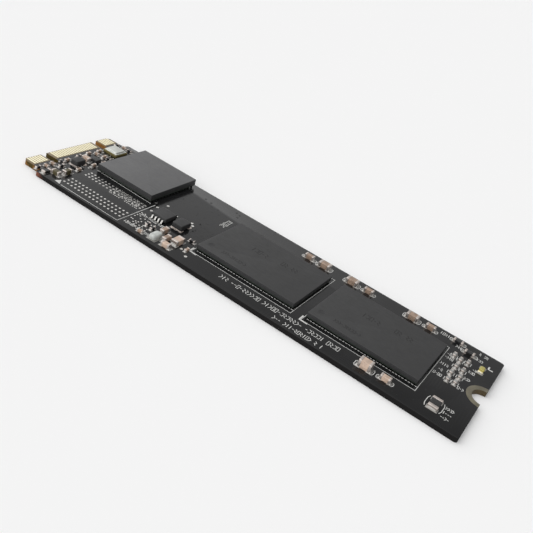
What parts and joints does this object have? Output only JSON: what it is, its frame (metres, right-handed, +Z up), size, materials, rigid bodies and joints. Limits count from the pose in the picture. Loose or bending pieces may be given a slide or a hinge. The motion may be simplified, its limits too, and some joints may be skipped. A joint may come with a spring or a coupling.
{
  "type": "solid state drive",
  "caption": "Bare plug-in card drive with an edge connector at one end, a half-round screw land at the other, and memory chips on top.",
  "frame": {"origin": "middle of the card's 22 x 80 mm footprint, on the plane of its lowest contact faces", "axes": "+X along the card from the edge connector to the screw end, +Y across the card, +Z up through the card towards the chips"},
  "size_m": [0.08, 0.022, 0.0022],
  "materials": {
    "board": "gloss",
    "tinned_land": "satin",
    "gold_contact": "satin",
    "laminate": "matte",
    "silicon": "gloss",
    "moulding": "satin",
    "capacitor_ceramic": "satin",
    "pale_ceramic": "satin",
    "steel_lid": "satin",
    "resistor_ceramic": "gloss",
    "ferrite": "matte",
    "tinned_metal": "satin",
    "lamp_base": "matte",
    "lamp_lens": "gloss"
  },
  "bodies": {
    "root": {"bottom_contacts_b": "gold_contact", "bottom_contacts_m": "gold_contact", "bottom_contacts_middle": "gold_contact", "circuit_board": "board", "connector_capacitor_1": "capacitor_ceramic", "connector_capacitor_2": "capacitor_ceramic", "connector_capacitor_3": "capacitor_ceramic", "connector_capacitor_4": "capacitor_ceramic", "connector_resistor_1": "resistor_ceramic", "controller_die": "silicon", "controller_mould_cap": "moulding", "controller_substrate": "laminate", "edge_capacitor_1": "capacitor_ceramic", "edge_capacitor_2": "capacitor_ceramic", "edge_capacitor_3": "capacitor_ceramic", "edge_capacitor_4": "capacitor_ceramic", "edge_capacitor_5": "capacitor_ceramic", "edge_capacitor_6": "capacitor_ceramic", "edge_capacitor_7": "capacitor_ceramic", "edge_capacitor_8": "capacitor_ceramic", "end_capacitor_1": "capacitor_ceramic", "end_capacitor_2": "capacitor_ceramic", "end_capacitor_3": "capacitor_ceramic", "end_capacitor_4": "capacitor_ceramic", "end_capacitor_5": "capacitor_ceramic", "end_capacitor_6": "capacitor_ceramic", "end_capacitor_7": "capacitor_ceramic", "end_capacitor_8": "capacitor_ceramic", "end_capacitor_9": "capacitor_ceramic", "end_resistor_1": "resistor_ceramic", "end_resistor_2": "resistor_ceramic", "end_resistor_3": "resistor_ceramic", "filter_bead_1": "pale_ceramic", "inductor_1_core": "ferrite", "inductor_1_terminal_far": "tinned_metal", "inductor_1_terminal_near": "tinned_metal", "inductor_2_core": "ferrite", "inductor_2_terminal_far": "tinned_metal", "inductor_2_terminal_near": "tinned_metal", "lamp_base": "lamp_base", "lamp_lens": "lamp_lens", "memory_1_die": "silicon", "memory_1_mould_cap": "moulding", "memory_1_substrate": "laminate", "memory_2_die": "silicon", "memory_2_mould_cap": "moulding", "memory_2_substrate": "laminate", "oscillator_base": "pale_ceramic", "oscillator_lid": "steel_lid", "power_capacitor_1": "capacitor_ceramic", "power_capacitor_2": "capacitor_ceramic", "power_capacitor_3": "capacitor_ceramic", "power_capacitor_4": "capacitor_ceramic", "regulator_body": "moulding", "regulator_lead_frame": "tinned_metal", "screw_land": "tinned_land", "supervisor_chip": "moulding", "top_contacts_b": "gold_contact", "top_contacts_m": "gold_contact", "top_contacts_middle": "gold_contact"}
  },
  "joints": []
}
